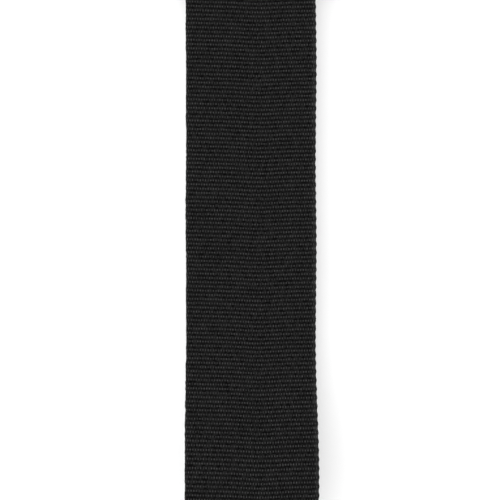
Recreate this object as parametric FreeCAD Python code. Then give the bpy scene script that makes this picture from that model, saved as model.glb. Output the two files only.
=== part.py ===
import FreeCAD, Part
import math
import os
from FreeCAD import Vector

# Adjustable guitar strap, folded in layers and laid flat.
# X runs across the strap, Y along it (front end at +Y), Z is up. Millimetres.
# Every place along Y is first counted from the middle of the plain webbing,
# and the finished solids are shifted so that the origin is under the whole strap's middle.

# --- webbing ---
WEB_WIDTH = 50.0
WEB_THICK = 1.5
LAYER_PITCH = 2.0
LAYER_COUNT = 5
STACK_FRONT = 92.0
STACK_REAR = -96.0
FOLD_STAGGER = 3.0
TOP_Z = WEB_THICK / 2 + (LAYER_COUNT - 1) * LAYER_PITCH

# --- raised fold at the rear of the top layer ---
RISE_START = -34.0
RISE_ANGLE = 20.0
RISE_RADIUS = 100.0
RISE_STRAIGHT = 6.0
CREST_RADIUS = 52.0
CREST_FALL = 12.0

# --- clearances ---
RUN_GAP = 0.2
WRAP_GAP = 0.1
SEWN_GAP = 0.05

# --- rectangular ring ---
RING_WIRE = 2.5
RING_INNER = 52.0
RING_SPACING = 18.0
RING_CORNER = 3.6
RING_Y = 194.0
WRAP_RADIUS = RING_WIRE + WRAP_GAP + WEB_THICK / 2
RING_Z = TOP_Z - WRAP_RADIUS

# --- slider ---
SLIDER_Y = 122.0
SLIDER_LENGTH = 40.0
SLIDER_INNER = 51.2
SLIDER_OUTER = 62.0
OUTER_BAR_WIDTH = 5.0
OUTER_BAR_THICK = 3.0
CENTRE_BAR_WIDTH = 6.0
CENTRE_BAR_THICK = 2.6
BAR_WRAP_GAP = 0.15
BAR_WRAP_RADIUS = CENTRE_BAR_THICK / 2 + BAR_WRAP_GAP + WEB_THICK / 2
CENTRE_BAR_Z = TOP_Z - WEB_THICK - RUN_GAP - BAR_WRAP_RADIUS
RAIL_END_LOW = 8.9
RAIL_MID_LOW = 2.6
RAIL_MID_HIGH = 8.8
RAIL_PAD = 5.6
RAIL_PROUD = 0.4
RAIL_CORNER = 1.5
RAIL_ROUND = 1.0

# --- sewn end behind the slider's centre bar ---
SEWN_FLAT = 16.0
SEWN_SLOPE = 11.0
RETURN_SLOPE = 15.0
RUN_SPLIT = 98.0

# --- leather tabs ---
LEATHER = 1.8
TAB_WIDTH = 52.0
TAB_LENGTH = 75.0
TAB_SHOULDER = 40.0
TAB_TIP_RADIUS = 13.0
TAB_BASE_FILLET = 3.0
TAB_SHOULDER_FILLET = 14.0
TAB_OVERLAP = 25.0
TAB_STEP = 10.0
HOLE_RADIUS = 4.0
HOLE_FROM_TIP = 14.0
SLIT_LENGTH = 12.0
SLIT_WIDTH = 0.8
FRONT_TAB_Y = 230.0
REAR_TAB_Y = -112.0

# --- thread ---
STITCH_LENGTH = 2.3
STITCH_PITCH = 3.2
STITCH_WIDTH = 0.8
STITCH_HEIGHT = 0.4
EDGE_INSET = 3.5
BOX_WIDTH = 38.0
BOX_LENGTH = 17.0

FRONT_TIP = FRONT_TAB_Y + TAB_LENGTH
REAR_TIP = REAR_TAB_Y - TAB_LENGTH
MIDDLE = (FRONT_TIP + REAR_TIP) / 2


class BandPath:
    """Centreline of a band in the YZ plane, drawn by walking forward and turning."""

    def __init__(self, y, z, heading):
        self.y = y
        self.z = z
        self.heading = math.radians(heading)
        self.steps = []
        self.length = 0.0

    def point(self, step, part, offset):
        """Point a fraction part along one step, moved offset to the left of the walk."""
        y, z, heading, size, turn = step
        if turn == 0:
            y += part * size * math.cos(heading)
            z += part * size * math.sin(heading)
        else:
            side = math.copysign(1, turn)
            y -= side * size * math.sin(heading)
            z += side * size * math.cos(heading)
            heading += part * turn
            y += side * size * math.sin(heading)
            z -= side * size * math.cos(heading)
        return Vector(0, y - offset * math.sin(heading), z + offset * math.cos(heading))

    def add(self, size, turn):
        step = (self.y, self.z, self.heading, size, turn)
        self.steps.append(step)
        end = self.point(step, 1, 0)
        self.y = end.y
        self.z = end.z
        self.heading += turn
        self.length += size if turn == 0 else size * abs(turn)

    def forward(self, distance):
        self.add(distance, 0)

    def turn(self, radius, degrees):
        self.add(radius, math.radians(degrees))

    def shift(self, distance, offset):
        """S-bend: two equal arcs that move the path sideways, to the left when offset > 0."""
        half = 2 * math.atan(abs(offset) / distance)
        radius = distance / (2 * math.sin(half))
        side = math.copysign(1, offset)
        self.add(radius, side * half)
        self.add(radius, -side * half)

    def side_edges(self, offset):
        edges = []
        for step in self.steps:
            start = self.point(step, 0, offset)
            end = self.point(step, 1, offset)
            if step[4] == 0:
                edges.append(Part.LineSegment(start, end).toShape())
            else:
                edges.append(Part.Arc(start, self.point(step, 0.5, offset), end).toShape())
        return edges

    def band(self, width, thick):
        """Solid band of the given width across X, centred on the path."""
        left = self.side_edges(thick / 2)
        right = self.side_edges(-thick / 2)
        first = self.steps[0]
        last = self.steps[-1]
        tail = Part.LineSegment(self.point(first, 0, -thick / 2), self.point(first, 0, thick / 2))
        head = Part.LineSegment(self.point(last, 1, thick / 2), self.point(last, 1, -thick / 2))
        edges = [tail.toShape()] + left + [head.toShape()] + right[::-1]
        face = Part.Face(Part.Wire(Part.__sortEdges__(edges)))
        solid = face.extrude(Vector(width, 0, 0))
        solid.translate(Vector(-width / 2, 0, 0))
        if solid.Volume < 0:
            solid.reverse()
        return solid


def top_layer_path():
    """Main run from its split near the slider to the crest of the raised fold and round it."""
    path = BandPath(RUN_SPLIT, TOP_Z, 180)
    path.forward(RUN_SPLIT - RISE_START)
    path.turn(RISE_RADIUS, -RISE_ANGLE)
    path.forward(RISE_STRAIGHT)
    path.turn(CREST_RADIUS, RISE_ANGLE + CREST_FALL)
    drop = path.z - (TOP_Z - LAYER_PITCH)
    fall = math.radians(CREST_FALL)
    path.turn(drop / (1 + math.cos(fall)), 180 - CREST_FALL)
    return path


def main_webbing():
    path = top_layer_path()
    front_end = STACK_FRONT
    for layer in range(2, LAYER_COUNT + 1):
        if layer % 2 == 0:
            path.forward(front_end - path.y)
            path.turn(LAYER_PITCH / 2, -180)
            front_end -= FOLD_STAGGER
        elif layer < LAYER_COUNT:
            path.forward(path.y - STACK_REAR)
            path.turn(LAYER_PITCH / 2, 180)
    bend_start = REAR_TAB_Y + TAB_STEP + 2
    path.forward(path.y - bend_start)
    path.shift(TAB_STEP, -LEATHER)
    path.forward(path.y - (REAR_TAB_Y - TAB_OVERLAP))
    print("main webbing centreline %.1f mm" % path.length)
    return path.band(WEB_WIDTH, WEB_THICK)


def adjusting_run():
    path = BandPath(RING_Y, TOP_Z, 180)
    path.forward(RING_Y - RUN_SPLIT)
    print("adjusting run centreline %.1f mm" % path.length)
    return path.band(WEB_WIDTH, WEB_THICK)


def ring_bight():
    path = BandPath(RING_Y, RING_Z - WRAP_RADIUS, 0)
    path.turn(WRAP_RADIUS, 180)
    print("ring bight centreline %.1f mm" % path.length)
    return path.band(WEB_WIDTH, WEB_THICK)


def return_webbing():
    """Sewn end over the slider's centre bar, round it and back under it to the ring."""
    under_bar = CENTRE_BAR_Z - BAR_WRAP_RADIUS
    over_bar = CENTRE_BAR_Z + BAR_WRAP_RADIUS
    sewn_z = under_bar + WEB_THICK + SEWN_GAP
    bar_edge = (CENTRE_BAR_WIDTH - CENTRE_BAR_THICK) / 2
    start = SLIDER_Y + bar_edge + SEWN_SLOPE + SEWN_FLAT
    path = BandPath(start, sewn_z, 180)
    path.forward(SEWN_FLAT)
    path.shift(SEWN_SLOPE, sewn_z - over_bar)
    path.forward(2 * bar_edge)
    path.turn(BAR_WRAP_RADIUS, 180)
    path.forward(start - path.y)
    path.shift(RETURN_SLOPE, RING_Z - WRAP_RADIUS - under_bar)
    path.forward(RING_Y - path.y)
    print("return webbing centreline %.1f mm" % path.length)
    return path.band(WEB_WIDTH, WEB_THICK)


def bar_solid(y, z, width, thick):
    """Round-edged bar across the strap, between the slider's side rails."""
    length = SLIDER_INNER + 2
    core = Part.makeBox(length, width - thick, thick)
    core.translate(Vector(-length / 2, y - (width - thick) / 2, z - thick / 2))
    for side in (-1, 1):
        edge_y = y + side * (width - thick) / 2
        start = Vector(-length / 2, edge_y, z)
        core = core.fuse(Part.makeCylinder(thick / 2, length, start, Vector(1, 0, 0)))
    return core


def rail_solid(side):
    """One side rail: flat pads over the ends of the outer bars, hollowed between them."""
    half = SLIDER_LENGTH / 2
    bar_low = TOP_Z + WEB_THICK / 2 + RUN_GAP
    rail_top = bar_low + OUTER_BAR_THICK + RAIL_PROUD
    ends_low = [Vector(0, SLIDER_Y + s * half, RAIL_END_LOW) for s in (-1, 1)]
    ends_high = [Vector(0, SLIDER_Y + s * half, rail_top) for s in (-1, 1)]
    pads = [Vector(0, SLIDER_Y + s * (half - RAIL_PAD), rail_top) for s in (-1, 1)]
    edges = [
        Part.Arc(ends_low[0], Vector(0, SLIDER_Y, RAIL_MID_LOW), ends_low[1]).toShape(),
        Part.LineSegment(ends_low[1], ends_high[1]).toShape(),
        Part.LineSegment(ends_high[1], pads[1]).toShape(),
        Part.Arc(pads[1], Vector(0, SLIDER_Y, RAIL_MID_HIGH), pads[0]).toShape(),
        Part.LineSegment(pads[0], ends_high[0]).toShape(),
        Part.LineSegment(ends_high[0], ends_low[0]).toShape(),
    ]
    thick = (SLIDER_OUTER - SLIDER_INNER) / 2
    rail = Part.Face(Part.Wire(edges)).extrude(Vector(thick, 0, 0))
    corners = [e for e in rail.Edges if e.BoundBox.XLength > thick - 0.01]
    rail = rail.makeFillet(RAIL_CORNER, corners)
    outlines = [e for e in rail.Edges if e.BoundBox.XLength < 0.01]
    rail = rail.makeFillet(RAIL_ROUND, outlines)
    low = SLIDER_INNER / 2
    rail.translate(Vector(low if side > 0 else -low - thick, 0, 0))
    return rail


def slider():
    bar_low = TOP_Z + WEB_THICK / 2 + RUN_GAP
    body = bar_solid(SLIDER_Y, CENTRE_BAR_Z, CENTRE_BAR_WIDTH, CENTRE_BAR_THICK)
    for end in (-1, 1):
        y = SLIDER_Y + end * (SLIDER_LENGTH - OUTER_BAR_WIDTH) / 2
        bar = bar_solid(y, bar_low + OUTER_BAR_THICK / 2, OUTER_BAR_WIDTH, OUTER_BAR_THICK)
        body = body.fuse(bar)
    for side in (-1, 1):
        body = body.fuse(rail_solid(side))
    return body.removeSplitter()


def ring():
    """Round wire bent into a rectangle: straight sides joined by quarter turns."""
    half_x = (RING_INNER + 2 * RING_WIRE) / 2
    straight_x = 2 * (half_x - RING_CORNER)
    straight_y = RING_SPACING - 2 * RING_CORNER
    body = None
    for y in (RING_Y, RING_Y + RING_SPACING):
        start = Vector(-straight_x / 2, y, RING_Z)
        bar = Part.makeCylinder(RING_WIRE, straight_x, start, Vector(1, 0, 0))
        body = bar if body is None else body.fuse(bar)
    for side in (-1, 1):
        start = Vector(side * half_x, RING_Y + RING_CORNER, RING_Z)
        body = body.fuse(Part.makeCylinder(RING_WIRE, straight_y, start, Vector(0, 1, 0)))
    for quarter, (sx, sy) in enumerate(((1, 1), (-1, 1), (-1, -1), (1, -1))):
        corner_y = RING_Y + RING_SPACING / 2 + sy * straight_y / 2
        centre = Vector(sx * straight_x / 2, corner_y, RING_Z)
        bend = Part.makeTorus(RING_CORNER, RING_WIRE, Vector(), Vector(0, 0, 1), 0, 360, 90)
        bend.rotate(Vector(), Vector(0, 0, 1), 90 * quarter)
        bend.translate(centre)
        body = body.fuse(bend)
    return body.removeSplitter()


def tail_webbing():
    """Short loop through the ring, both of its ends between the front tab's plies."""
    lower = LEATHER + WEB_THICK / 2
    upper = lower + WEB_THICK + SEWN_GAP
    bar_y = RING_Y + RING_SPACING
    converge = FRONT_TAB_Y - bar_y
    path = BandPath(FRONT_TAB_Y + TAB_OVERLAP, lower, 180)
    path.forward(TAB_OVERLAP)
    path.shift(converge, lower - (RING_Z - WRAP_RADIUS))
    path.turn(WRAP_RADIUS, -180)
    path.shift(converge, upper - (RING_Z + WRAP_RADIUS))
    path.forward(TAB_OVERLAP)
    print("tail webbing centreline %.1f mm" % path.length)
    return path.band(WEB_WIDTH, WEB_THICK)


def tab_outline(inset):
    """Closed wire of a tab seen from above: base at 0, tip at TAB_LENGTH along +Y."""
    half = TAB_WIDTH / 2 - inset
    tip_radius = TAB_TIP_RADIUS - inset
    tip_centre = TAB_LENGTH - TAB_TIP_RADIUS
    reach = math.hypot(half, tip_centre - TAB_SHOULDER)
    angle = math.acos(tip_radius / reach) - math.atan2(tip_centre - TAB_SHOULDER, half)
    tangent_x = tip_radius * math.cos(angle)
    tangent_y = tip_centre + tip_radius * math.sin(angle)
    corners = [
        Vector(-tangent_x, tangent_y, 0),
        Vector(-half, TAB_SHOULDER, 0),
        Vector(-half, inset, 0),
        Vector(half, inset, 0),
        Vector(half, TAB_SHOULDER, 0),
        Vector(tangent_x, tangent_y, 0),
    ]
    edges = [Part.LineSegment(a, b).toShape() for a, b in zip(corners, corners[1:])]
    tip = Vector(0, tip_centre + tip_radius, 0)
    edges.append(Part.Arc(corners[-1], tip, corners[0]).toShape())
    return Part.Wire(edges)


def tab_prism(height):
    """The tab's outline as a solid block with rounded corners, holed for the strap button."""
    block = Part.Face(tab_outline(0)).extrude(Vector(0, 0, height))
    for corner_y, radius in ((0, TAB_BASE_FILLET), (TAB_SHOULDER, TAB_SHOULDER_FILLET)):
        upright = [e for e in block.Edges if e.BoundBox.ZLength > height / 2]
        corners = [e for e in upright if abs(e.CenterOfMass.y - corner_y) < 1]
        block = block.makeFillet(radius, corners)
    hole_y = TAB_LENGTH - HOLE_FROM_TIP
    hole = Part.makeCylinder(HOLE_RADIUS, height, Vector(0, hole_y, 0))
    slit_start = hole_y - HOLE_RADIUS - SLIT_LENGTH
    slit = Part.makeBox(SLIT_WIDTH, SLIT_LENGTH + HOLE_RADIUS, height)
    slit.translate(Vector(-SLIT_WIDTH / 2, slit_start, 0))
    return block.cut(hole).cut(slit)


def lower_ply():
    return tab_prism(LEATHER)


def upper_ply(filling):
    """Upper ply: lies over the webbing, then steps down onto the lower ply."""
    height = LEATHER + filling + LEATHER / 2
    path = BandPath(0, height, 0)
    path.forward(TAB_OVERLAP + 1)
    path.shift(TAB_STEP, -filling)
    path.forward(TAB_LENGTH - path.y)
    sheet = path.band(TAB_WIDTH, LEATHER)
    return sheet.common(tab_prism(2 * LEATHER + filling))


def ply_top(distance, filling):
    """Height and slope of the upper ply's top at a distance from the tab's base."""
    top = 2 * LEATHER + filling
    along = min(max(distance - TAB_OVERLAP - 1, 0), TAB_STEP)
    half_turn = 2 * math.atan(filling / TAB_STEP)
    radius = TAB_STEP / (2 * math.sin(half_turn))
    near = min(along, TAB_STEP - along)
    drop = radius - math.sqrt(radius ** 2 - near ** 2)
    slope = -math.asin(near / radius)
    if along > TAB_STEP / 2:
        drop = filling - drop
    return top - drop, slope


def stitch(x, y, z, heading, slope):
    """One thread lying on the surface."""
    thread = Part.makeBox(STITCH_LENGTH, STITCH_WIDTH, STITCH_HEIGHT)
    thread.translate(Vector(-STITCH_LENGTH / 2, -STITCH_WIDTH / 2, 0))
    thread.rotate(Vector(), Vector(0, 0, 1), math.degrees(heading))
    thread.rotate(Vector(), Vector(1, 0, 0), math.degrees(slope))
    thread.translate(Vector(x, y, z))
    return thread


def stitches_along(wire, height_at):
    """Threads one after another along a wire, each on the height and slope given there."""
    count = max(1, round(wire.Length / STITCH_PITCH))
    points = wire.discretize(Number=count + 1)
    threads = []
    for start, end in zip(points, points[1:]):
        middle = (start + end) / 2
        heading = math.atan2(end.y - start.y, end.x - start.x)
        z, slope = height_at(middle.y)
        threads.append(stitch(middle.x, middle.y, z, heading, slope))
    return threads


def edge_stitch(filling):
    wire = tab_outline(EDGE_INSET)
    return Part.makeCompound(stitches_along(wire, lambda y: ply_top(y, filling)))


def box_lines(near, far, half_width):
    """A rectangle and its two diagonals, each as its own line, stopping short of the corners."""
    corners = [
        Vector(-half_width, near, 0),
        Vector(half_width, near, 0),
        Vector(half_width, far, 0),
        Vector(-half_width, far, 0),
    ]
    pairs = [(0, 1), (1, 2), (2, 3), (3, 0), (0, 2), (1, 3)]
    lines = []
    for a, b in pairs:
        step = (corners[b] - corners[a]).normalize() * STITCH_LENGTH
        lines.append(Part.Wire(Part.LineSegment(corners[a] + step, corners[b] - step).toShape()))
    return lines


def box_stitch(near, far, half_width, height):
    threads = []
    middle = (near + far) / 2
    for line in box_lines(near, far, half_width):
        threads += stitches_along(line, lambda y: (height, 0))
    kept = []
    for thread in threads:
        centre = thread.CenterOfMass
        crossing = math.hypot(centre.x, centre.y - middle) < STITCH_LENGTH
        if not crossing:
            kept.append(thread)
    return Part.makeCompound(kept)


def tab_box_stitch(filling):
    near = EDGE_INSET + 2.5
    return box_stitch(near, near + BOX_LENGTH, BOX_WIDTH / 2, 2 * LEATHER + filling)


def slider_end_stitch():
    """Box stitch through the sewn end, behind the slider's centre bar."""
    top = CENTRE_BAR_Z - BAR_WRAP_RADIUS + WEB_THICK * 1.5 + SEWN_GAP
    near = SLIDER_Y + (CENTRE_BAR_WIDTH - CENTRE_BAR_THICK) / 2 + SEWN_SLOPE + 2
    return box_stitch(near, near + SEWN_FLAT - 4, BOX_WIDTH / 2, top)


def at_front(shape):
    shape.translate(Vector(0, FRONT_TAB_Y, 0))
    return shape


def at_rear(shape):
    shape.rotate(Vector(), Vector(0, 0, 1), 180)
    shape.translate(Vector(0, REAR_TAB_Y, 0))
    return shape


def build():
    nodes = {
        "main_webbing": main_webbing(),
        "adjusting_run": adjusting_run(),
        "ring_bight": ring_bight(),
        "return_webbing": return_webbing(),
        "slider_end_stitch": slider_end_stitch(),
        "slider": slider(),
        "ring": ring(),
        "tail_webbing": tail_webbing(),
    }
    fillings = {"front": 2 * WEB_THICK + SEWN_GAP, "rear": WEB_THICK}
    places = {"front": at_front, "rear": at_rear}
    for end, filling in fillings.items():
        place = places[end]
        nodes[end + "_tab_upper_ply"] = place(upper_ply(filling))
        nodes[end + "_tab_lower_ply"] = place(lower_ply())
        nodes[end + "_tab_edge_stitch"] = place(edge_stitch(filling))
        nodes[end + "_tab_box_stitch"] = place(tab_box_stitch(filling))
    return nodes


os.makedirs("parts", exist_ok=True)
for name, shape in build().items():
    shape.translate(Vector(0, -MIDDLE, 0))
    box = shape.BoundBox
    print("%-24s solids %3d valid %s y %.1f..%.1f z %.2f..%.2f" % (
        name, len(shape.Solids), shape.isValid(), box.YMin, box.YMax, box.ZMin, box.ZMax))
    shape.exportStep("parts/" + name + ".step")
print("middle of the plain webbing at y %.1f" % -MIDDLE)
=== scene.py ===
import functools
import math

import bpy
import numpy as np
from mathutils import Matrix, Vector


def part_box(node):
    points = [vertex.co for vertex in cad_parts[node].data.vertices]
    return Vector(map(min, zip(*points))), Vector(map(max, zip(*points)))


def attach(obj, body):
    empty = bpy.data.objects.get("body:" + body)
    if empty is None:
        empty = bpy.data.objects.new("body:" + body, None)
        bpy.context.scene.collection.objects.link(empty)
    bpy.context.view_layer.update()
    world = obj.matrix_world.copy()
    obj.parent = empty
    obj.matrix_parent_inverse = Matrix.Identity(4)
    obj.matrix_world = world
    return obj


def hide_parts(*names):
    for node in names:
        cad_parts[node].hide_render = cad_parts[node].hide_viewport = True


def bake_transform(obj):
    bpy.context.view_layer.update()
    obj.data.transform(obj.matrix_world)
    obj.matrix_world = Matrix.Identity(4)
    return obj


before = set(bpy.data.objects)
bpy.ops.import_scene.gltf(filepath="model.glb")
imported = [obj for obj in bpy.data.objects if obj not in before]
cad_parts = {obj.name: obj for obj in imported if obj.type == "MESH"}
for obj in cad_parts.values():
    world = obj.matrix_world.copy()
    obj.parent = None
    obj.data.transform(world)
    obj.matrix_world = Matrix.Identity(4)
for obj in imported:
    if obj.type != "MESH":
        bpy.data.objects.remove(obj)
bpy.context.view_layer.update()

MM = 0.001

# --- places read from the frame, metres ---
RUN_LOW, RUN_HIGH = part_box("adjusting_run")
RING_LOW, RING_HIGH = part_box("ring")
SLIDER_LOW, SLIDER_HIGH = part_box("slider")
RUN_START = RUN_LOW[1]
TOP_Z = (RUN_LOW[2] + RUN_HIGH[2]) / 2
RING_Y = RUN_HIGH[1]
RING_Z = (RING_LOW[2] + RING_HIGH[2]) / 2
SLIDER_Y = (SLIDER_LOW[1] + SLIDER_HIGH[1]) / 2
FRONT_TAB_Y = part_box("front_tab_lower_ply")[0][1]
REAR_TAB_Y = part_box("rear_tab_lower_ply")[1][1]

# --- webbing, as in the part ---
WEB_WIDTH = 50 * MM
WEB_THICK = 1.5 * MM
# folded layers
LAYER_PITCH = 2 * MM
LAYER_COUNT = 5
STACK_FRONT = RUN_START - 6 * MM
STACK_REAR = RUN_START - 194 * MM
FOLD_STAGGER = 3 * MM
# raised fold, from the top layer up to its crest, angles in degrees
RISE_START = RUN_START - 132 * MM
RISE_ANGLE = 20
RISE_RADIUS = 100 * MM
RISE_STRAIGHT = 6 * MM
CREST_RADIUS = 52 * MM
CREST_FALL = 12
# round the ring and the slider's centre bar
RING_SPACING = 18 * MM
WRAP_RADIUS = TOP_Z - RING_Z
BAR_WRAP_RADIUS = 2.2 * MM
BAR_GAP = 0.2 * MM
CENTRE_BAR_Z = TOP_Z - WEB_THICK - BAR_GAP - BAR_WRAP_RADIUS
BAR_EDGE = 1.7 * MM
SEWN_FLAT = 16 * MM
SEWN_SLOPE = 11 * MM
SEWN_GAP = 0.05 * MM
RETURN_SLOPE = 15 * MM
STEP_LEAD = 2 * MM

# --- leather tabs, as in the part ---
LEATHER = 1.8 * MM
TAB_LENGTH = 75 * MM
TAB_OVERLAP = 25 * MM
TAB_STEP = 10 * MM
TAB_HALF = 26 * MM
TAB_TIP_RADIUS = 13 * MM
TAB_BASE_FILLET = 3 * MM
TAB_SHOULDER = 40 * MM
TAB_SHOULDER_FILLET = 14 * MM
HOLE_RADIUS = 4 * MM
HOLE_FROM_TIP = 14 * MM
SLIT_LENGTH = 12 * MM
SLIT_WIDTH = 0.8 * MM
# only here: the rounded edge, the step's lead, and the loops and points of a ply's mesh
EDGE_ROUND = 0.55 * MM
PLY_LEAD = 1 * MM
SHOWN_LOOPS = 46
HIDDEN_LOOPS = 6
CORNER_POINTS = 12
TIP_POINTS = 28
BASE_POINTS = 40
SIDE_POINTS = 56
TAPER_POINTS = 36
FOOT_POINTS = 6

# --- thread ---
STITCH_LENGTH = 2.6 * MM
STITCH_PITCH = 3.2 * MM
THREAD_RADIUS = 0.36 * MM
THREAD_SIDES = 10
THREAD_FLATNESS = 0.85
UNDER_THREAD = 0.44 * MM
UNDER_RISE = -0.35
# one stitch: places along its half length, and its height and radius there
THREAD_ALONG = np.array([-1.0, -0.96, -0.8, -0.45, 0.0, 0.45, 0.8, 0.96, 1.0])
THREAD_LIFT = np.array([-0.9, -0.2, 0.55, 0.9, 1.0, 0.9, 0.55, -0.2, -0.9]) * THREAD_RADIUS
THREAD_GIRTH = np.array([0.7, 0.85, 1.0, 1.05, 1.05, 1.05, 1.0, 0.85, 0.7]) * THREAD_RADIUS
# seams
CROSSING_GAP = 0.6 * STITCH_LENGTH
SLIDER_SEAM_SINK = 0.1 * MM
SLIDER_SEAM_MARGIN = 2 * MM
EDGE_INSET = 3.5 * MM
BOX_WIDTH = 38 * MM
BOX_LENGTH = 17 * MM
BOX_FROM_SEAM = 2.5 * MM
GROOVE_DEPTH = 0.24 * MM
GROOVE_WIDTH = 0.7 * MM

# --- weave ---
RIB = 1.63 * MM
END_PITCH = 0.5 * MM
CROWN = 0.15 * MM
VALLEY = 0.12 * MM
COLUMNS = round(WEB_WIDTH / END_PITCH)
# beads: their height at the edges, unevenness and bluntness, and the depth of the crossings
SELVEDGE_CALM = 0.35
BEAD_SPREAD = 0.28
BEAD_BLUNTNESS = 0.7
CROSSING_SHARE = 0.8
# how far the ribs bow across the strap
BOW = 0.35 * MM
BOW_HUMP = 0.45 * MM
BOW_HUMP_X = 3 * MM
BOW_HUMP_WIDTH = 8 * MM
BOW_SKEW = 0.15 * MM
# edges
EDGE_THINNING = 0.3 * MM
EDGE_ROLL = 0.7 * MM
EDGE_YARNS = 1.5 * MM
SCALLOP = 0.26 * MM
SCALLOP_POINT = 1.5
NIBBLE = 0.07 * MM
LEFT_BULGE = 0.04 * MM
RIGHT_BULGE = 0.12 * MM
WANDER = 0.16 * MM
WANDER_REACH = 12 * MM
LEFT_WAVE = 73 * MM
LEFT_CREST = 153 * MM
RIGHT_WAVE = 69 * MM
RIGHT_CREST = 203 * MM
# rows of the mesh
ROWS_PER_RIB = 4
TIGHT_RADIUS = 12 * MM
TIGHT_TURN = 0.3
CLOSEST_ROWS = 0.12 * MM
FINE_MARGIN = 12 * MM
BEND_LEAD = 14 * MM
BEND_TRAIL = 16 * MM


# ---------------------------------------------------------------- paths
class BandPath:
    """Centreline of a band in the YZ plane, drawn by walking forward and turning."""

    def __init__(self, y, z, heading):
        self.y = y
        self.z = z
        self.heading = math.radians(heading)
        self.steps = []
        self.length = 0.0

    def add(self, size, turn):
        """One more step: a straight as long as size when turn is 0, or else an arc of that radius."""
        span = size if turn == 0 else size * abs(turn)
        self.steps.append((self.length, span, self.y, self.z, self.heading, size, turn))
        self.length += span
        y, z, _ = self.at(np.array([self.length]))
        self.y = float(y[0])
        self.z = float(z[0])
        self.heading += turn

    def at(self, s):
        """Y, Z and heading at distances s along the path."""
        y = np.zeros(len(s))
        z = np.zeros(len(s))
        heading = np.zeros(len(s))
        for start, span, y0, z0, h0, size, turn in self.steps:
            here = s >= start - 1e-9
            part = np.clip((s - start) / span, 0, 1)
            if turn == 0:
                y = np.where(here, y0 + part * size * math.cos(h0), y)
                z = np.where(here, z0 + part * size * math.sin(h0), z)
                heading = np.where(here, h0, heading)
                continue
            side = math.copysign(1, turn)
            now = h0 + part * turn
            y = np.where(here, y0 + side * size * (np.sin(now) - math.sin(h0)), y)
            z = np.where(here, z0 - side * size * (np.cos(now) - math.cos(h0)), z)
            heading = np.where(here, now, heading)
        return y, z, heading

    def forward(self, distance):
        self.add(distance, 0)

    def turn(self, radius, degrees):
        self.add(radius, math.radians(degrees))

    def shift(self, distance, offset):
        """S-bend: two equal arcs that move the path sideways, to the left when offset > 0."""
        half = 2 * math.atan(abs(offset) / distance)
        radius = distance / (2 * math.sin(half))
        side = math.copysign(1, offset)
        self.add(radius, side * half)
        self.add(radius, -side * half)

    def rows(self, fine_spans):
        """Distances of the mesh rows: close together in the fine spans and round tight arcs."""
        fine = RIB / ROWS_PER_RIB
        marks = [np.array([0.0, self.length]), np.arange(0, self.length, RIB)]
        for low, high in fine_spans:
            marks.append(np.arange(math.ceil(low / fine) * fine, high, fine))
        for start, span, *_, size, turn in self.steps:
            if turn != 0 and size < TIGHT_RADIUS:
                marks.append(start + np.linspace(0, span, max(4, round(abs(turn) / TIGHT_TURN))))
        s = np.unique(np.round(np.concatenate(marks), 7))
        keep = np.concatenate([[True], np.diff(s) > CLOSEST_ROWS])
        keep[-1] = True
        return s[keep]


def main_path():
    """From under the ring bar, over it, down the top layer, round the raised fold and the layers."""
    path = BandPath(RING_Y, RING_Z - WRAP_RADIUS, 0)
    path.turn(WRAP_RADIUS, 180)
    path.forward(path.y - RISE_START)
    path.turn(RISE_RADIUS, -RISE_ANGLE)
    path.forward(RISE_STRAIGHT)
    path.turn(CREST_RADIUS, RISE_ANGLE + CREST_FALL)
    drop = path.z - (TOP_Z - LAYER_PITCH)
    path.turn(drop / (1 + math.cos(math.radians(CREST_FALL))), 180 - CREST_FALL)
    loop_end = path.length
    front_end = STACK_FRONT
    for layer in range(2, LAYER_COUNT + 1):
        if layer % 2 == 0:
            path.forward(front_end - path.y)
            path.turn(LAYER_PITCH / 2, -180)
            front_end -= FOLD_STAGGER
        elif layer < LAYER_COUNT:
            path.forward(path.y - STACK_REAR)
            path.turn(LAYER_PITCH / 2, 180)
    path.forward(path.y - (REAR_TAB_Y + TAB_STEP + STEP_LEAD))
    bend_start = path.length
    path.shift(TAB_STEP, -LEATHER)
    path.forward(path.y - (REAR_TAB_Y - TAB_OVERLAP))
    return path, loop_end, bend_start


def sewn_path():
    """The end sewn down on the ring's side of the slider, over the centre bar to just under it."""
    under = CENTRE_BAR_Z - BAR_WRAP_RADIUS
    over = CENTRE_BAR_Z + BAR_WRAP_RADIUS
    sewn_z = under + WEB_THICK + SEWN_GAP
    path = BandPath(SLIDER_Y + BAR_EDGE + SEWN_SLOPE + SEWN_FLAT, sewn_z, 180)
    path.forward(SEWN_FLAT)
    path.shift(SEWN_SLOPE, sewn_z - over)
    path.forward(2 * BAR_EDGE)
    path.turn(BAR_WRAP_RADIUS, 180)
    path.forward(2 * BAR_EDGE)
    return path


def return_path():
    """From under the slider's centre bar back to the ring."""
    under = CENTRE_BAR_Z - BAR_WRAP_RADIUS
    path = BandPath(SLIDER_Y + BAR_EDGE, under, 0)
    path.forward(SEWN_SLOPE + SEWN_FLAT)
    path.shift(RETURN_SLOPE, RING_Z - WRAP_RADIUS - under)
    path.forward(RING_Y - path.y)
    return path


def tail_path():
    """Loop from the front tab round the ring's far bar and back."""
    lower = LEATHER + WEB_THICK / 2
    upper = lower + WEB_THICK + SEWN_GAP
    bar_y = RING_Y + RING_SPACING
    converge = FRONT_TAB_Y - bar_y
    path = BandPath(FRONT_TAB_Y + TAB_OVERLAP, lower, 180)
    path.forward(TAB_OVERLAP)
    path.shift(converge, lower - (RING_Z - WRAP_RADIUS))
    path.turn(WRAP_RADIUS, -180)
    path.shift(converge, upper - (RING_Z + WRAP_RADIUS))
    path.forward(TAB_OVERLAP)
    return path


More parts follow.
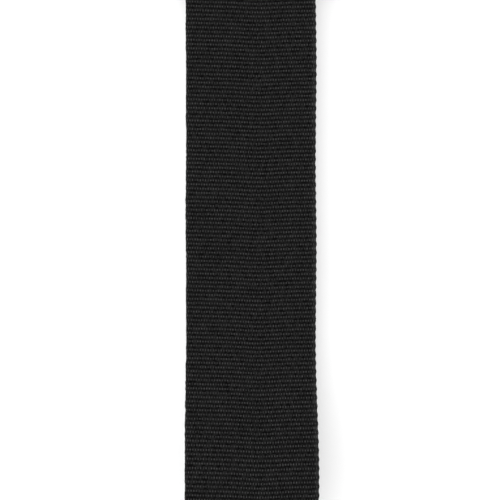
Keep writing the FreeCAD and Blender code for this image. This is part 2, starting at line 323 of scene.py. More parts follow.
# ---------------------------------------------------------------- meshes
def mesh_object(name, points, quads):
    """Smooth-shaded mesh from an (n, 3) array of points and an (m, 4) array of corner indices."""
    mesh = bpy.data.meshes.new(name)
    mesh.vertices.add(len(points))
    mesh.vertices.foreach_set("co", np.asarray(points, np.float32).ravel())
    mesh.loops.add(quads.size)
    mesh.loops.foreach_set("vertex_index", quads.astype(np.int32).ravel())
    mesh.polygons.add(len(quads))
    mesh.polygons.foreach_set("loop_start", np.arange(0, quads.size, 4, dtype=np.int32))
    mesh.polygons.foreach_set("use_smooth", np.full(len(quads), True))
    mesh.update(calc_edges=True)
    mesh.validate()
    piece = bpy.data.objects.new(name, mesh)
    bpy.context.scene.collection.objects.link(piece)
    return piece


def bow(x):
    """How far the ribs run on towards the rear at a place across the strap, in metres."""
    across = x / (WEB_WIDTH / 2)
    hump = np.exp(-((x - BOW_HUMP_X) / BOW_HUMP_WIDTH) ** 2)
    return BOW * (1 - across ** 2) + BOW_HUMP * hump + BOW_SKEW * across


def weave_height(end, rib, rng):
    """Height of the cloth over its mean surface at warp end numbers and rib numbers."""
    lift = np.cos(np.pi * rib) * np.where(end % 2 < 0.5, 1.0, -1.0)
    crown = np.sign(lift) * np.abs(lift) ** BEAD_BLUNTNESS * CROWN
    crown = np.where(lift < 0, crown * CROSSING_SHARE, crown)
    valley = VALLEY * (np.cos(np.pi * rib) ** 2 - 1)
    bead = np.floor(rib + 0.5).astype(int)
    bead -= bead.min()
    wobble = rng.normal(1.0, BEAD_SPREAD, (bead.max() + 1, COLUMNS + 2))
    slack = wobble[bead, np.broadcast_to(end, bead.shape).astype(int)]
    return np.minimum(np.where(lift > 0, crown * slack, crown), CROWN) + valley


def edge_profile(x):
    """Half thickness of the webbing across its width: rolled edges, thinner than the middle."""
    inward = np.minimum(x + WEB_WIDTH / 2, WEB_WIDTH / 2 - x)
    return WEB_THICK / 2 - EDGE_THINNING * np.exp(-inward / EDGE_ROLL)


def edge_shift(x, run, edge_rib, rng):
    """How far each mesh point moves across the strap, by its row's place along the webbing:
    scallops on the right edge, small nibbles on the left one, and a slow wander of both."""
    scallop = SCALLOP * (0.5 + 0.5 * np.cos(np.pi * edge_rib)) ** SCALLOP_POINT
    pull = np.clip((x - (WEB_WIDTH / 2 - EDGE_YARNS)) / EDGE_YARNS, 0, 1)
    shift = -(SCALLOP - scallop)[:, None] * pull[None, :]
    beads = np.arange(math.floor(edge_rib.min()), math.ceil(edge_rib.max()) + 1, 0.5)
    nibble = np.interp(edge_rib, beads, rng.normal(0, NIBBLE, len(beads)))
    shift = shift + nibble[:, None] * pull[None, ::-1]
    for side, wave, crest in ((-1, LEFT_WAVE, LEFT_CREST), (1, RIGHT_WAVE, RIGHT_CREST)):
        wander = WANDER * np.cos(2 * math.pi * (run - crest) / wave)
        near = np.clip(1 - (WEB_WIDTH / 2 - side * x) / WANDER_REACH, 0, 1)
        shift = shift + wander[:, None] * near[None, :]
    return shift


def band_points(path, s, ring_x, ring_height):
    """Places of a grid of mesh points: rows at distances s along a path, rings round the strip."""
    y, z, heading = path.at(s)
    py = y[:, None] - ring_height * np.sin(heading)[:, None]
    pz = z[:, None] + ring_height * np.cos(heading)[:, None]
    return np.stack([ring_x, py, pz], 2).reshape(-1, 3)


def band_quads(rows, size):
    """Faces of a closed strip of rings, with a cap across each end."""
    r, c = np.meshgrid(np.arange(rows - 1), np.arange(size), indexing="ij")
    beside = (c + 1) % size
    sides = [r * size + c, r * size + beside, (r + 1) * size + beside, (r + 1) * size + c]
    upper = np.concatenate([[size - 1], np.arange(COLUMNS + 1)])
    lower = np.arange(2 * COLUMNS + 2, COLUMNS, -1)
    cap = np.stack([upper[:-1], upper[1:], lower[1:], lower[:-1]], 1)
    return np.vstack([np.stack(sides, 2).reshape(-1, 4), cap[:, ::-1], cap + (rows - 1) * size])


def lay_weave_map(piece, ring_end, ring_rib):
    """UV map whose two coordinates are the warp end number and the rib number."""
    weave = np.stack([ring_end, ring_rib], 2).reshape(-1, 2).astype(np.float32)
    layer = piece.data.uv_layers.new(name="weave")
    corner = np.empty(len(piece.data.loops), np.int32)
    piece.data.loops.foreach_get("vertex_index", corner)
    layer.data.foreach_set("uv", weave[corner].ravel())


def woven_band(name, path, fine_spans, start_length, seed):
    """Closed woven strip along a path, with ribs and beads in the mesh on both faces."""
    rng = np.random.default_rng(seed)
    s = path.rows(fine_spans)
    end = np.arange(COLUMNS + 1)
    x = (end - COLUMNS / 2) * END_PITCH
    rib = (s[:, None] + start_length - bow(x)[None, :]) / RIB
    calm = np.clip(np.minimum(end, COLUMNS - end) / 2, SELVEDGE_CALM, 1)[None, :]
    half = edge_profile(x)[None, :] - CROWN
    top = half + calm * weave_height(end[None, :], rib, rng)
    under = -half - calm * weave_height(end[None, :] + 1, rib, rng)
    widths = x[None, :] + edge_shift(x, s + start_length, rib[:, -1], rng)
    left = widths[:, :1] - LEFT_BULGE
    right = widths[:, -1:] + RIGHT_BULGE
    ring_x = np.hstack([widths, right, widths[:, ::-1], left])
    middle = np.zeros((len(s), 1))
    ring_height = np.hstack([top, middle, under[:, ::-1], middle])
    points = band_points(path, s, ring_x, ring_height)
    piece = mesh_object(name, points, band_quads(len(s), ring_x.shape[1]))
    ring_rib = np.hstack([rib, rib[:, -1:], rib[:, ::-1], rib[:, :1]])
    lay_weave_map(piece, ring_x / END_PITCH, ring_rib)
    piece.data.materials.append(webbing_material())
    return piece


# ---------------------------------------------------------------- leather tabs
def tab_curves():
    """Fixed centres of a tab's outline arcs and the angle of its tapering sides."""
    tip_y = TAB_LENGTH - TAB_TIP_RADIUS
    reach = math.hypot(TAB_HALF, tip_y - TAB_SHOULDER)
    angle = math.acos(TAB_TIP_RADIUS / reach) - math.atan2(tip_y - TAB_SHOULDER, TAB_HALF)
    flank = tip_y * math.sin(angle) + TAB_TIP_RADIUS
    shoulder_x = TAB_HALF - TAB_SHOULDER_FILLET
    shoulder_y = (flank - TAB_SHOULDER_FILLET - shoulder_x * math.cos(angle)) / math.sin(angle)
    return angle, (shoulder_x, shoulder_y), (0.0, tip_y)


def arc_points(centre, radius, start, end, count):
    """Points on an arc, both ends included."""
    turn = np.linspace(start, end, count)
    return np.stack([centre[0] + radius * np.cos(turn), centre[1] + radius * np.sin(turn)], 1)


def mirrored(half):
    """Closed loop from the points of its right half, which starts and ends on the middle line."""
    left = half[-2:0:-1] * np.array([-1.0, 1.0])
    return np.vstack([half, left])


def straight(start, end, count):
    """Points from start up to, but without, end."""
    part = np.arange(count)[:, None] / count
    return np.asarray(start) * (1 - part) + np.asarray(end) * part


def tab_loop(inset):
    """The tab's outline moved inwards, always with the same number of points."""
    angle, shoulder, tip = tab_curves()
    corner = max(TAB_BASE_FILLET - inset, 0.5 * MM)
    corner_centre = (TAB_HALF - inset - corner, inset + corner)
    base = arc_points(corner_centre, corner, -math.pi / 2, 0, CORNER_POINTS)
    bend = arc_points(shoulder, TAB_SHOULDER_FILLET - inset, 0, angle, CORNER_POINTS)
    end = arc_points(tip, TAB_TIP_RADIUS - inset, angle, math.pi / 2, TIP_POINTS)
    half = np.vstack([
        straight((0, inset), base[0], BASE_POINTS), base[:-1],
        straight(base[-1], bend[0], SIDE_POINTS), bend[:-1],
        straight(bend[-1], end[0], TAPER_POINTS), end])
    return mirrored(half)


def keyhole_loop(grow):
    """Outline of the button hole and its slit, with as many points as tab_loop gives."""
    count = len(tab_loop(0)) // 2 + 1
    hole_y = TAB_LENGTH - HOLE_FROM_TIP
    side = SLIT_WIDTH / 2 + grow
    radius = HOLE_RADIUS + grow
    meet = math.asin(side / radius)
    low = hole_y - HOLE_RADIUS - SLIT_LENGTH - grow
    high = hole_y - radius * math.cos(meet)
    first = count // 3
    rest = count - first - FOOT_POINTS
    foot = straight((0, low), (side, low + side), FOOT_POINTS)
    slit = straight((side, low + side), (side, high), first)
    circle = arc_points((0, hole_y), radius, meet - math.pi / 2, math.pi / 2, rest)
    return mirrored(np.vstack([foot, slit, circle]))


def ply_top(distance, filling):
    """Height of the upper ply's top at distances from the tab's base."""
    along = np.clip(distance - TAB_OVERLAP - PLY_LEAD, 0, TAB_STEP)
    part = along / TAB_STEP
    return 2 * LEATHER + filling * (1 - part * part * (3 - 2 * part))


def box_lines(near, far, half_width):
    """Start and end of each line of a box stitch: a rectangle and its two diagonals."""
    places = [(-half_width, near), (half_width, near), (half_width, far), (-half_width, far)]
    corners = [np.array(place) for place in places]
    pairs = [(0, 1), (1, 2), (2, 3), (3, 0), (0, 2), (1, 3)]
    lines = []
    for a, b in pairs:
        step = (corners[b] - corners[a]) / np.linalg.norm(corners[b] - corners[a])
        lines.append((corners[a] + step * STITCH_LENGTH / 2, corners[b] - step * STITCH_LENGTH / 2))
    return lines


# loops of mesh: millimetres in from the tab's edge, and out from the keyhole's
RIM_INSETS = (0.0, 0.06, 0.2, 0.4, 0.7, 1.2, 1.8, 2.3, 2.7, 3.0, 3.25, 3.5, 3.75, 4.0, 4.3, 4.8, 5.5)
EYE_GROWS = (1.2, 0.7, 0.35, 0.15, 0.05, 0.0)
BOX_NEAR = EDGE_INSET + BOX_FROM_SEAM
TAB_BOX = (BOX_NEAR, BOX_NEAR + BOX_LENGTH, BOX_WIDTH / 2)


def groove(points):
    """How deep the thread pulls the leather in at points on it."""
    depth = np.zeros(len(points))
    for start, end in box_lines(*TAB_BOX):
        run = end - start
        part = np.clip((points - start) @ run / (run @ run), 0, 1)
        away = np.linalg.norm(points - start - part[:, None] * run, axis=1)
        depth = np.maximum(depth, GROOVE_DEPTH * np.exp(-(away / GROOVE_WIDTH) ** 2))
    return depth


def ply_face(level_at, up, steps, grooved):
    """Loops of one face of a ply, from its rounded outer edge in to the keyhole, as xyz points."""
    loops = [(tab_loop(inset * MM), inset * MM) for inset in RIM_INSETS]
    rim = loops[-1][0]
    eye = keyhole_loop(EYE_GROWS[0] * MM)
    for part in np.linspace(0, 1, steps)[1:-1]:
        loops.append((rim * (1 - part) + eye * part, None))
    loops += [(keyhole_loop(grow * MM), grow * MM) for grow in EYE_GROWS]
    face = []
    for number, (loop, inset) in enumerate(loops):
        z = level_at(loop[:, 1])
        if inset is not None and inset < EDGE_ROUND:
            z = z - up * (EDGE_ROUND - math.sqrt(EDGE_ROUND ** 2 - (EDGE_ROUND - inset) ** 2))
        if grooved:
            z = z - up * groove(loop)
        if grooved and number < len(RIM_INSETS):
            z = z - up * GROOVE_DEPTH * math.exp(-((inset - EDGE_INSET) / (0.5 * GROOVE_WIDTH)) ** 2)
        face.append(np.column_stack([loop, z]))
    return face


def leather_ply(name, low_at, high_at, show_top, place, body, node):
    """Ply with rounded edges. The face on show has the seams' grooves, the hidden one is plain."""
    top = ply_face(high_at, 1, SHOWN_LOOPS if show_top else HIDDEN_LOOPS, show_top)
    under = ply_face(low_at, -1, HIDDEN_LOOPS if show_top else SHOWN_LOOPS, not show_top)
    sheets = top + under[::-1]
    rows = len(sheets)
    count = len(sheets[0])
    r, c = np.meshgrid(np.arange(rows), np.arange(count), indexing="ij")
    right = (c + 1) % count
    below = (r + 1) % rows
    quads = np.stack([r * count + c, r * count + right, below * count + right, below * count + c], 2)
    piece = mesh_object(name, place(np.concatenate(sheets)), quads.reshape(-1, 4))
    piece.data.materials.append(leather_material())
    piece.data.materials.append(edge_material())
    # painted rows of faces: round the rim, where the loops close up, and round the keyhole
    keyhole = len(top) - 1
    edge_rows = [k % rows for k in range(-3, 2)] + [keyhole + k for k in range(-2, 3)]
    index = np.zeros(rows * count, np.int32)
    for row in edge_rows:
        index[row * count:(row + 1) * count] = 1
    piece.data.polygons.foreach_set("material_index", index)
    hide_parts(node)
    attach(piece, body)


def front_place(points):
    """Points of a tab, moved to the front end."""
    return points + np.array([0, FRONT_TAB_Y, 0])


def rear_place(points):
    """Points of a tab, turned round and moved to the rear end."""
    return points * np.array([-1, -1, 1]) + np.array([0, REAR_TAB_Y, 0])


# ---------------------------------------------------------------- thread
def stitch_mesh(name, stitches, height_at, up, place, body):
    """One mesh of short arched threads. Each stitch is its start and end seen from above."""
    turn = 2 * math.pi * np.arange(THREAD_SIDES) / THREAD_SIDES
    points = []
    quads = []
    for start, end in stitches:
        half = (end - start) / 2
        across = np.array([-half[1], half[0]]) / np.linalg.norm(half)
        base = len(points)
        for part, rise, radius in zip(THREAD_ALONG, THREAD_LIFT, THREAD_GIRTH):
            spot = (start + end) / 2 + half * part
            z = height_at(spot[1]) + up * rise
            for angle in turn:
                x, y = spot + across * radius * math.cos(angle)
                points.append((x, y, z + radius * THREAD_FLATNESS * math.sin(angle)))
        for ring in range(len(THREAD_ALONG) - 1):
            for j in range(THREAD_SIDES):
                a = base + ring * THREAD_SIDES + j
                b = base + ring * THREAD_SIDES + (j + 1) % THREAD_SIDES
                quads.append((a, b, b + THREAD_SIDES, a + THREAD_SIDES))
        for ring in (0, len(THREAD_ALONG) - 1):
            first = base + ring * THREAD_SIDES
            for j in range(1, THREAD_SIDES - 2, 2):
                cap = (first, first + j, first + j + 1, first + j + 2)
                quads.append(cap if ring else cap[::-1])
    piece = mesh_object(name, place(np.array(points)), np.array(quads))
    piece.data.materials.append(thread_material())
    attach(piece, body)
    return piece


def stitches_between(start, end):
    """Evenly spaced stitches along a straight line."""
    length = np.linalg.norm(end - start)
    count = max(1, round(length / STITCH_PITCH))
    unit = (end - start) / length
    made = []
    for k in range(count):
        middle = start + unit * length * (k + 0.5) / count
        made.append((middle - unit * STITCH_LENGTH / 2, middle + unit * STITCH_LENGTH / 2))
    return made


def outline_stitches():
    """Stitches one after another round the tab, set in from its edge."""
    loop = tab_loop(EDGE_INSET)
    loop = np.vstack([loop, loop[:1]])
    steps = np.linalg.norm(np.diff(loop, axis=0), axis=1)
    run = np.concatenate([[0], np.cumsum(steps)])
    count = round(run[-1] / STITCH_PITCH)
    pitch = run[-1] / count
    made = []
    for k in range(count):
        ends = []
        for place in ((k + 0.5) * pitch - STITCH_LENGTH / 2, (k + 0.5) * pitch + STITCH_LENGTH / 2):
            x = np.interp(place, run, loop[:, 0])
            y = np.interp(place, run, loop[:, 1])
            ends.append(np.array([x, y]))
        made.append((ends[0], ends[1]))
    return made


def box_stitches(near, far, half_width):
    """Stitches of a box seam. The second diagonal, the last line, skips over the first one."""
    made = []
    middle = np.array([0, (near + far) / 2])
    lines = box_lines(near, far, half_width)
    for number, (start, end) in enumerate(lines):
        for stitch in stitches_between(start, end):
            crossing = np.linalg.norm((stitch[0] + stitch[1]) / 2 - middle) < CROSSING_GAP
            if not (crossing and number == len(lines) - 1):
                made.append(stitch)
    return made


def build_tab(end, filling, place, body):
    """One leather end: two plies, the filling's thickness apart at the base, and their seams."""
    def upper_high(y):
        return ply_top(y, filling)

    def upper_low(y):
        return ply_top(y, filling) - LEATHER

    def seam(y):
        return ply_top(y, filling) - GROOVE_DEPTH

    leather_ply(end + "_tab_upper", upper_low, upper_high, True, place, body, end + "_tab_upper_ply")
    leather_ply(end + "_tab_lower", np.zeros_like, lambda y: np.full_like(y, LEATHER), False,
                place, body, end + "_tab_lower_ply")
    edge = outline_stitches()
    box = box_stitches(*TAB_BOX)
    rim_seam = stitch_mesh(end + "_edge_stitches", edge, seam, 1, place, body)
    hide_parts(end + "_tab_edge_stitch")
    box_seam = stitch_mesh(end + "_box_stitches", box, seam, 1, place, body)
    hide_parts(end + "_tab_box_stitch")
    stitch_mesh(end + "_under_stitches", edge + box, lambda y: UNDER_THREAD, UNDER_RISE, place, body)


# ---------------------------------------------------------------- node helpers
class Nodes:
    """Short calls for building the node tree of a material or a world."""

    def __init__(self, owner, shader):
        owner.use_nodes = True
        self.owner = owner
        self.tree = owner.node_tree
        self.shader = self.tree.nodes[shader]

    def link(self, source, node, socket):
        self.tree.links.new(source, node.inputs[socket])

    def put(self, node, socket, value):
        """Link a socket, or set a constant, or leave the input as it is when there is no value."""
        if isinstance(value, bpy.types.NodeSocket):
            self.link(value, node, socket)
        elif value is not None:
            node.inputs[socket].default_value = value

    def node(self, kind, **settings):
        made = self.tree.nodes.new(kind)
        for key, value in settings.items():
            setattr(made, key, value)
        return made

    def maths(self, operation, a, b=None):
        """Result of a maths node on one or two sockets or numbers."""
        made = self.node("ShaderNodeMath", operation=operation)
        self.put(made, 0, a)
        self.put(made, 1, b)
        return made.outputs[0]

    def span(self, value, low, high, to_low=0.0, to_high=1.0, kind="LINEAR"):
        """A value between low and high, brought to between to_low and to_high."""
        made = self.node("ShaderNodeMapRange", interpolation_type=kind)
        self.put(made, 0, value)
        for socket, number in zip((1, 2, 3, 4), (low, high, to_low, to_high)):
            made.inputs[socket].default_value = number
        return made.outputs[0]

    def vary(self, noise, to_low, to_high):
        """A noise, which stays near its middle, spread between to_low and to_high."""
        return self.span(noise, 0.3, 0.7, to_low, to_high)

    def spot(self):
        """Place on the object, in metres."""
        return self.node("ShaderNodeTexCoord").outputs["Object"]

    def noise(self, vector, scale, detail=2.0, rough=0.5):
        made = self.node("ShaderNodeTexNoise")
        self.put(made, "Vector", vector)
        self.put(made, "Scale", scale)
        self.put(made, "Detail", detail)
        self.put(made, "Roughness", rough)
        return made.outputs[0]

    def chance(self, column, row):
        """Random number of a cell of the weave."""
        cell = self.node("ShaderNodeCombineXYZ")
        self.link(column, cell, 0)
        self.link(row, cell, 1)
        made = self.node("ShaderNodeTexWhiteNoise", noise_dimensions="2D")
        self.link(cell.outputs[0], made, "Vector")
        return made.outputs[0]

    def bump(self, height, distance, strength=1.0, normal=None):
        made = self.node("ShaderNodeBump")
        made.inputs["Distance"].default_value = distance
        made.inputs["Strength"].default_value = strength
        self.put(made, "Height", height)
        self.put(made, "Normal", normal)
        return made.outputs[0]

    def tint(self, colour, factor):
        """Colour times a factor socket."""
        made = self.node("ShaderNodeVectorMath", operation="SCALE")
        self.put(made, 0, colour)
        self.put(made, "Scale", factor)
        return made.outputs[0]


def new_material(name):
    return Nodes(bpy.data.materials.new(name), "Principled BSDF")


def grey(level):
    return (level, level, level)


# base colours, and how much lighter the weave's parts are than the yarn's black: the crowns and ribs
# by painted highlight and painted shade, the grit by random tone
YARN_BLACK = 0.0076
CROWN_PAINTED_LIGHT = 6.0
RIDGE_PAINTED_LIGHT = 0.4
GRIT_LIGHT = 1.2
LEATHER_BLACK = (0.0095, 0.0088, 0.0085)
EDGE_BLACK = (0.011, 0.0105, 0.0105)
THREAD_BLACK = 0.03
PLASTIC_BLACK = (0.0125, 0.0125, 0.013)
NICKEL = (0.56, 0.545, 0.52)
FLOOR_GREY = 0.9
# grain, in cells a metre, and how far the pebbles are shifted off their places
PEBBLES = 900
PEBBLE_WARP = 650
TWIST = 620
PEBBLE_SHIFT = 1.3 * MM


@functools.cache
def webbing_material():
    """Black plain-woven yarn: painted highlight on the crowns, painted shade in the crossings and
    between the ribs, every bead a little different.
    """
    n = new_material("webbing")
    uv = n.node("ShaderNodeUVMap", uv_map="weave").outputs[0]
    split = n.node("ShaderNodeSeparateXYZ")
    n.link(uv, split, 0)
    end, rib = split.outputs[0], split.outputs[1]
    wave_end = n.maths("COSINE", n.maths("MULTIPLY", end, math.pi))
    wave_rib = n.maths("COSINE", n.maths("MULTIPLY", rib, math.pi))
    lift = n.maths("MULTIPLY", wave_end, wave_rib)
    # painted shade: the base colour is darker in the valleys between the ribs and lighter on the ribs
    ridge_painted_shade = n.maths("POWER", n.maths("ABSOLUTE", wave_rib), 3.0)
    crown = n.maths("MULTIPLY", n.maths("POWER", n.span(lift, 0.0, 1.0), 1.8), ridge_painted_shade)
    # painted highlight: the base colour is lighter over the last three warp ends at both edges of the
    # webbing
    rim = n.span(n.maths("ABSOLUTE", end), COLUMNS / 2 - 3, COLUMNS / 2, 0.0, 0.8)
    right_edge = n.span(end, COLUMNS / 2 - 4.5, COLUMNS / 2 - 2)
    knot = n.maths("MULTIPLY", right_edge, n.span(wave_rib, 1, -1, 0, 1.8))
    dice = n.chance(n.maths("ROUND", end), n.maths("ROUND", rib))
    grit = n.chance(n.maths("ROUND", end), n.maths("ROUND", n.maths("MULTIPLY", rib, 3.0)))
    stretch = n.node("ShaderNodeMapping")
    stretch.inputs["Scale"].default_value = (0.9, 2.6, 1)
    n.link(uv, stretch, "Vector")
    fibre = n.noise(stretch.outputs[0], 1.3, 3.0, 0.6)
    blotch = n.noise(uv, 0.035, 3.0, 0.6)
    # painted highlight on the crowns and painted shade in the crossings: most of the base colour's
    # weave pattern is painted light and shade
    beads = n.maths("MULTIPLY", crown, CROWN_PAINTED_LIGHT)
    shape = n.maths("ADD", beads, n.maths("MULTIPLY", ridge_painted_shade, RIDGE_PAINTED_LIGHT))
    tone = n.maths("MULTIPLY", shape, n.span(dice, 0, 1, 0.65, 1.35))
    edge = n.maths("ADD", knot, n.span(grit, 0, 1, 0, GRIT_LIGHT))
    tone = n.maths("ADD", n.maths("ADD", tone, rim), edge)
    tone = n.maths("MULTIPLY", tone, n.span(fibre, 0.37, 0.63, 0.88, 1.12))
    tone = n.maths("MULTIPLY", tone, n.vary(blotch, 0.95, 1.05))
    n.link(n.tint(grey(YARN_BLACK), tone), n.shader, "Base Color")
    n.link(n.span(crown, 0, 1, 0.75, 0.5), n.shader, "Roughness")
    n.shader.inputs["Specular IOR Level"].default_value = 0.04
    n.link(n.bump(fibre, 0.05 * MM, 0.8), n.shader, "Normal")
    return n.owner


@functools.cache
def leather_material():
    """Black pebbled leather: small rounded grains with fine creases between them."""
    n = new_material("leather")
    spot = n.spot()
    warp = n.node("ShaderNodeTexNoise")
    n.link(spot, warp, "Vector")
    warp.inputs["Scale"].default_value = PEBBLE_WARP
    warp.inputs["Detail"].default_value = 3
    shifted = n.node("ShaderNodeVectorMath", operation="MULTIPLY_ADD")
    n.link(warp.outputs["Color"], shifted, 0)
    shifted.inputs[1].default_value = grey(PEBBLE_SHIFT)
    n.link(spot, shifted, 2)
    grain = n.node("ShaderNodeTexVoronoi", feature="SMOOTH_F1")
    crease = n.node("ShaderNodeTexVoronoi", feature="DISTANCE_TO_EDGE")
    for cells in (grain, crease):
        cells.inputs["Scale"].default_value = PEBBLES
        n.link(shifted.outputs[0], cells, "Vector")
    edge = n.span(crease.outputs[0], 0.0, 0.22)
    pebble = n.maths("SUBTRACT", edge, n.maths("MULTIPLY", grain.outputs[0], 0.9))
    pore = n.noise(spot, 4200.0, 3.0, 0.6)
    wear = n.noise(spot, 45.0, 4.0, 0.6)
    tone = n.maths("MULTIPLY", n.span(edge, 0, 1, 0.6, 1.12), n.vary(wear, 0.8, 1.25))
    n.link(n.tint(LEATHER_BLACK, tone), n.shader, "Base Color")
    rough = n.maths("ADD", n.span(edge, 0, 1, 0.68, 0.46), n.vary(wear, -0.05, 0.06))
    n.link(rough, n.shader, "Roughness")
    n.shader.inputs["Specular IOR Level"].default_value = 0.2
    fine = n.bump(pore, 0.03 * MM, 0.5)
    n.link(n.bump(pebble, 0.14 * MM, 0.9, fine), n.shader, "Normal")
    return n.owner


@functools.cache
def edge_material():
    """Cut edge of the leather, painted black and rubbed smooth."""
    n = new_material("leather_edge")
    spot = n.spot()
    fibre = n.noise(spot, 1500.0, 3.0, 0.6)
    coat = n.noise(spot, 260.0, 2.0)
    n.link(n.tint(EDGE_BLACK, n.vary(coat, 0.8, 1.3)), n.shader, "Base Color")
    n.link(n.vary(fibre, 0.35, 0.6), n.shader, "Roughness")
    n.shader.inputs["Specular IOR Level"].default_value = 0.4
    n.link(n.bump(n.maths("ADD", fibre, coat), 0.06 * MM, 0.6), n.shader, "Normal")
    return n.owner


@functools.cache
def thread_material():
    """Black bonded thread with its twist."""
    n = new_material("thread")
    spot = n.spot()
    twist = n.node("ShaderNodeTexWave", bands_direction="DIAGONAL")
    twist.inputs["Scale"].default_value = TWIST
    twist.inputs["Distortion"].default_value = 1.0
    n.link(spot, twist, "Vector")
    fibre = n.noise(spot, 5000.0, 2.0)
    strand = n.span(twist.outputs[1], 0, 1, 0.5, 1.3)
    tone = n.maths("MULTIPLY", strand, n.vary(fibre, 0.8, 1.2))
    n.link(n.tint(grey(THREAD_BLACK), tone), n.shader, "Base Color")
    n.link(n.span(twist.outputs[1], 0, 1, 0.65, 0.42), n.shader, "Roughness")
    n.shader.inputs["Specular IOR Level"].default_value = 0.4
    n.link(n.bump(twist.outputs[1], 0.08 * MM, 0.8), n.shader, "Normal")
    return n.owner


def plastic_material():
    """Black moulded plastic with a fine spark-eroded skin."""
    n = new_material("moulded_plastic")
    spot = n.spot()
    spark = n.noise(spot, 2600.0, 3.0, 0.6)
    smear = n.noise(spot, 70.0, 3.0, 0.55)
    n.link(n.tint(PLASTIC_BLACK, n.vary(smear, 0.85, 1.2)), n.shader, "Base Color")
    rough = n.maths("ADD", n.vary(spark, 0.36, 0.5), n.vary(smear, -0.04, 0.05))
    n.link(rough, n.shader, "Roughness")
    n.shader.inputs["Specular IOR Level"].default_value = 0.32
    n.link(n.bump(spark, 0.03 * MM, 0.7), n.shader, "Normal")
    return n.owner


def nickel_material():
    """Nickel-plated wire, polished, with fine handling scratches."""
    n = new_material("nickel")
    spot = n.spot()
    stretch = n.node("ShaderNodeMapping")
    stretch.inputs["Scale"].default_value = (1, 6, 6)
    n.link(spot, stretch, "Vector")
    scratch = n.noise(stretch.outputs[0], 700.0, 4.0, 0.7)
    haze = n.noise(spot, 120.0, 3.0)
    n.link(n.tint(NICKEL, n.vary(haze, 0.88, 1.05)), n.shader, "Base Color")
    n.shader.inputs["Metallic"].default_value = 1.0
    rough = n.maths("ADD", n.span(scratch, 0.35, 0.7, 0.14, 0.3), n.vary(haze, -0.03, 0.06))
    n.link(rough, n.shader, "Roughness")
    n.link(n.bump(scratch, 0.01 * MM, 0.35), n.shader, "Normal")
    return n.owner


# ---------------------------------------------------------------- stage
VIEW_DISTANCE = 300 * MM
FRAME_WIDTH = 191.8 * MM
OFF_AXIS = 7.75 * MM
STRAP_OFFSET = 0.45 * MM
VIEW_Y = RUN_START - 98 * MM
CLIP_START = 10 * MM
SENSOR = 36.0
# floor: its size, and where its glow starts and is full, in metres
FLOOR_SIZE = 60
GLOW_START = 0.35
GLOW_END = 1.6
GLOW = 0.4
# world: strength from the left and the right, and the wall that reflections see near the horizon
SKY_LEFT = 1.1
SKY_RIGHT = 0.55
SKY_TURN = 0.3
WALL_SHEEN = 0.12
WALL_FOOT = 0.15
WALL_TOP = 0.55
# lamp, in watts and metres
KEY_POWER = 7.6
KEY_SIZE = 0.12
KEY_FORWARD = 0.15
KEY_HEIGHT = 1.2


def floor_material():
    """Pale floor that turns into a white backdrop well away from the strap."""
    n = new_material("floor")
    spot = n.spot()
    mottle = n.noise(spot, 30.0, 2.0)
    n.link(n.tint(grey(FLOOR_GREY), n.span(mottle, 0, 1, 0.995, 1.005)), n.shader, "Base Color")
    n.shader.inputs["Roughness"].default_value = 0.9
    far = n.node("ShaderNodeVectorMath", operation="LENGTH")
    n.link(spot, far, 0)
    n.shader.inputs["Emission Color"].default_value = (1, 1, 1, 1)
    glow = n.span(far.outputs["Value"], GLOW_START, GLOW_END, 0.0, GLOW)
    n.link(glow, n.shader, "Emission Strength")
    return n.owner


def build_floor():
    """Large white plane that the strap lies on."""
    bpy.ops.mesh.primitive_plane_add(size=FLOOR_SIZE)
    floor = bpy.context.object
    floor.name = "floor"
    floor.data.materials.append(floor_material())


def build_camera():
    """Straight down from VIEW_DISTANCE over the top layer, with the strap beside the axis."""
    data = bpy.data.cameras.new("camera")
    camera = bpy.data.objects.new("camera", data)
    bpy.context.scene.collection.objects.link(camera)
    top = TOP_Z + WEB_THICK / 2
    camera.location = (-OFF_AXIS - STRAP_OFFSET, VIEW_Y, top + VIEW_DISTANCE)
    data.sensor_width = SENSOR
    data.lens = SENSOR * VIEW_DISTANCE / FRAME_WIDTH
    data.shift_x = OFF_AXIS / FRAME_WIDTH
    data.clip_start = CLIP_START
    bpy.context.scene.camera = camera


def overhead_lamp():
    """Small lamp high over the strap, a little towards the front tab: it makes the soft shadow."""
    data = bpy.data.lights.new("overhead", "AREA")
    data.shape = "DISK"
    data.size = KEY_SIZE
    data.energy = KEY_POWER
    lamp = bpy.data.objects.new("overhead", data)
    lamp.location = (0, VIEW_Y + KEY_FORWARD, KEY_HEIGHT)
    aim = Vector((0, VIEW_Y, 0)) - lamp.location
    lamp.rotation_euler = aim.to_track_quat("-Z", "Y").to_euler()
    bpy.context.scene.collection.objects.link(lamp)


def studio_world():
    """White to the camera. It lights the left more than the right, and reflections see a dim wall."""
    n = Nodes(bpy.data.worlds.new("studio"), "Background")
    around = n.node("ShaderNodeSeparateXYZ")
    n.link(n.node("ShaderNodeTexCoord").outputs["Generated"], around, 0)
    ray = n.node("ShaderNodeLightPath").outputs
    sky = n.span(around.outputs[0], -SKY_TURN, SKY_TURN, SKY_LEFT, SKY_RIGHT, "SMOOTHSTEP")
    wall = n.span(around.outputs[2], WALL_FOOT, WALL_TOP, 1 - WALL_SHEEN, 0.0, "SMOOTHSTEP")
    seen = n.maths("SUBTRACT", 1.0, n.maths("MULTIPLY", wall, ray["Is Glossy Ray"]))
    n.shader.inputs["Color"].default_value = (1, 1, 1, 1)
    n.link(n.maths("MULTIPLY", sky, seen), n.shader, "Strength")
    plain = n.node("ShaderNodeBackground")
    plain.inputs["Color"].default_value = (1, 1, 1, 1)
    mix = n.node("ShaderNodeMixShader")
    n.link(ray["Is Camera Ray"], mix, 0)
    n.link(n.shader.outputs[0], mix, 1)
    n.link(plain.outputs[0], mix, 2)
    n.link(mix.outputs[0], n.tree.nodes["World Output"], 0)
    return n.owner


def build_light():
    """World and lamp, with plain display colours."""
    scene = bpy.context.scene
    scene.world = studio_world()
    scene.view_settings.view_transform = "Standard"
    scene.view_settings.look = "None"
    overhead_lamp()


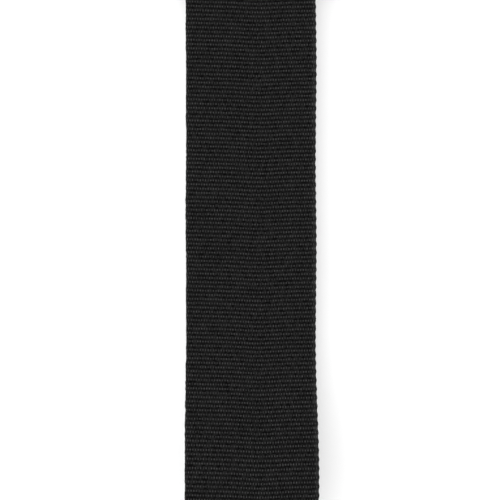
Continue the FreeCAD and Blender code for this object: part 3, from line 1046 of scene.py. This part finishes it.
# ---------------------------------------------------------------- pieces
def build_long_webbing():
    """The strap's long piece: main webbing, adjusting run and the bight round the ring."""
    path, loop_end, bend_start = main_path()
    fine = [(0, loop_end + FINE_MARGIN), (bend_start - BEND_LEAD, bend_start + BEND_TRAIL)]
    main = woven_band("webbing_main", path, fine, 0.0, 11)
    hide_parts("main_webbing", "adjusting_run", "ring_bight")
    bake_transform(main)


def build_return_webbing():
    """The webbing from under the slider to the ring, which shrinks as the strap is lengthened."""
    path = return_path()
    back = woven_band("webbing_return", path, [(0, path.length)], -path.length, 12)
    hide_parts("return_webbing")
    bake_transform(back)


def build_sewn_end():
    """The webbing's end, sewn down beside the slider after it has gone round the centre bar."""
    path = sewn_path()
    sewn = woven_band("webbing_sewn_end", path, [(0, path.length)], 0.0, 13)
    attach(sewn, "slider")


def build_tail_webbing():
    """The short loop that ties the front tab to the ring."""
    path = tail_path()
    tail = woven_band("webbing_tail", path, [(0, path.length)], 0.0, 14)
    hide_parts("tail_webbing")
    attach(tail, "front_tab")


def build_hardware():
    """Moulded plastic and nickel on the slider's and the ring's own meshes."""
    for node, material in (("slider", plastic_material()), ("ring", nickel_material())):
        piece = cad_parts[node]
        piece.data.materials.clear()
        piece.data.materials.append(material)


def build_slider_stitches():
    """Box stitch through the sewn end and the webbing under it."""
    underside = CENTRE_BAR_Z - BAR_WRAP_RADIUS - WEB_THICK / 2
    under = underside + SLIDER_SEAM_SINK
    over = underside + 2 * WEB_THICK + SEWN_GAP - SLIDER_SEAM_SINK
    near = SLIDER_Y + BAR_EDGE + SEWN_SLOPE + SLIDER_SEAM_MARGIN
    box = box_stitches(near, near + SEWN_FLAT - 2 * SLIDER_SEAM_MARGIN, BOX_WIDTH / 2)
    seam = stitch_mesh("slider_end_stitches", box, lambda y: over, 1, np.array, "slider")
    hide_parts("slider_end_stitch")
    stitch_mesh("slider_end_under_stitches", box, lambda y: under, -1, np.array, "slider")


build_camera()
build_light()
build_floor()
build_long_webbing()
build_return_webbing()
build_sewn_end()
build_tail_webbing()
build_tab("front", 2 * WEB_THICK + SEWN_GAP, front_place, "front_tab")
build_tab("rear", WEB_THICK, rear_place, "root")
build_slider_stitches()
build_hardware()
